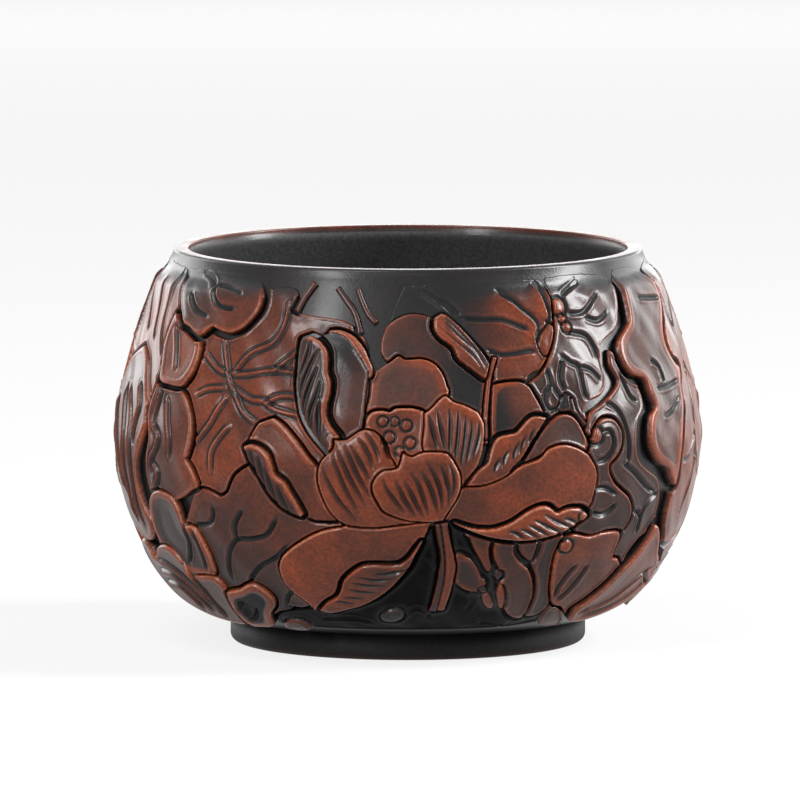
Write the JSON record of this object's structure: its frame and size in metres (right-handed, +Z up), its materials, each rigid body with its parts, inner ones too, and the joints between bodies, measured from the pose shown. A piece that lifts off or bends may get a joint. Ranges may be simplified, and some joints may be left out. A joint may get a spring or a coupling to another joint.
{
  "type": "tea cup",
  "caption": "Round ceramic tea cup with a raised lotus and leaf relief, a plain lip and a low turned foot ring.",
  "frame": {"origin": "centre of the foot ring's resting face", "axes": "+Z up through the mouth; -Y toward the lotus flower on the front; +X to the right seen from the front"},
  "size_m": [0.0892, 0.0898, 0.06],
  "materials": {
    "dark_glaze": "satin near-black glaze",
    "russet_glaze": "satin red-brown glaze on the raised relief",
    "foot_clay": "dark stoneware foot"
  },
  "bodies": {
    "root": {"bowl_wall": "dark_glaze", "foot_ring": "foot_clay", "front_bud_left": "russet_glaze", "front_leaf_bright_right": "russet_glaze", "front_leaf_curled_right": "russet_glaze", "front_leaf_far_left": "russet_glaze", "front_leaf_far_right": "russet_glaze", "front_leaf_folded_right": "russet_glaze", "front_leaf_hub_right": "russet_glaze", "front_leaf_lobed_left": "russet_glaze", "front_leaf_low_left": "russet_glaze", "front_leaf_low_middle": "russet_glaze", "front_leaf_low_right": "russet_glaze", "front_leaf_tall_right": "russet_glaze", "front_leaf_veined_left": "russet_glaze", "front_petal_back_centre": "russet_glaze", "front_petal_back_top": "russet_glaze", "front_petal_centre": "russet_glaze", "front_petal_long_left": "russet_glaze", "front_petal_long_right": "russet_glaze", "front_petal_low_left": "russet_glaze", "front_petal_low_right": "russet_glaze", "front_petal_outer_left": "russet_glaze", "front_petal_pod_left": "russet_glaze", "front_petal_pod_right": "russet_glaze", "front_petal_right": "russet_glaze", "front_petal_right_under": "russet_glaze", "front_petal_side_left": "russet_glaze", "front_petal_upper_left": "russet_glaze", "front_seed_pod": "russet_glaze", "front_stem": "russet_glaze", "rear_bud_left": "russet_glaze", "rear_leaf_bright_right": "russet_glaze", "rear_leaf_curled_right": "russet_glaze", "rear_leaf_far_left": "russet_glaze", "rear_leaf_far_right": "russet_glaze", "rear_leaf_folded_right": "russet_glaze", "rear_leaf_hub_right": "russet_glaze", "rear_leaf_lobed_left": "russet_glaze", "rear_leaf_low_left": "russet_glaze", "rear_leaf_low_middle": "russet_glaze", "rear_leaf_low_right": "russet_glaze", "rear_leaf_tall_right": "russet_glaze", "rear_leaf_veined_left": "russet_glaze", "rear_petal_back_centre": "russet_glaze", "rear_petal_back_top": "russet_glaze", "rear_petal_centre": "russet_glaze", "rear_petal_long_left": "russet_glaze", "rear_petal_long_right": "russet_glaze", "rear_petal_low_left": "russet_glaze", "rear_petal_low_right": "russet_glaze", "rear_petal_outer_left": "russet_glaze", "rear_petal_pod_left": "russet_glaze", "rear_petal_pod_right": "russet_glaze", "rear_petal_right": "russet_glaze", "rear_petal_right_under": "russet_glaze", "rear_petal_side_left": "russet_glaze", "rear_petal_upper_left": "russet_glaze", "rear_seed_pod": "russet_glaze", "rear_stem": "russet_glaze"}
  },
  "joints": []
}
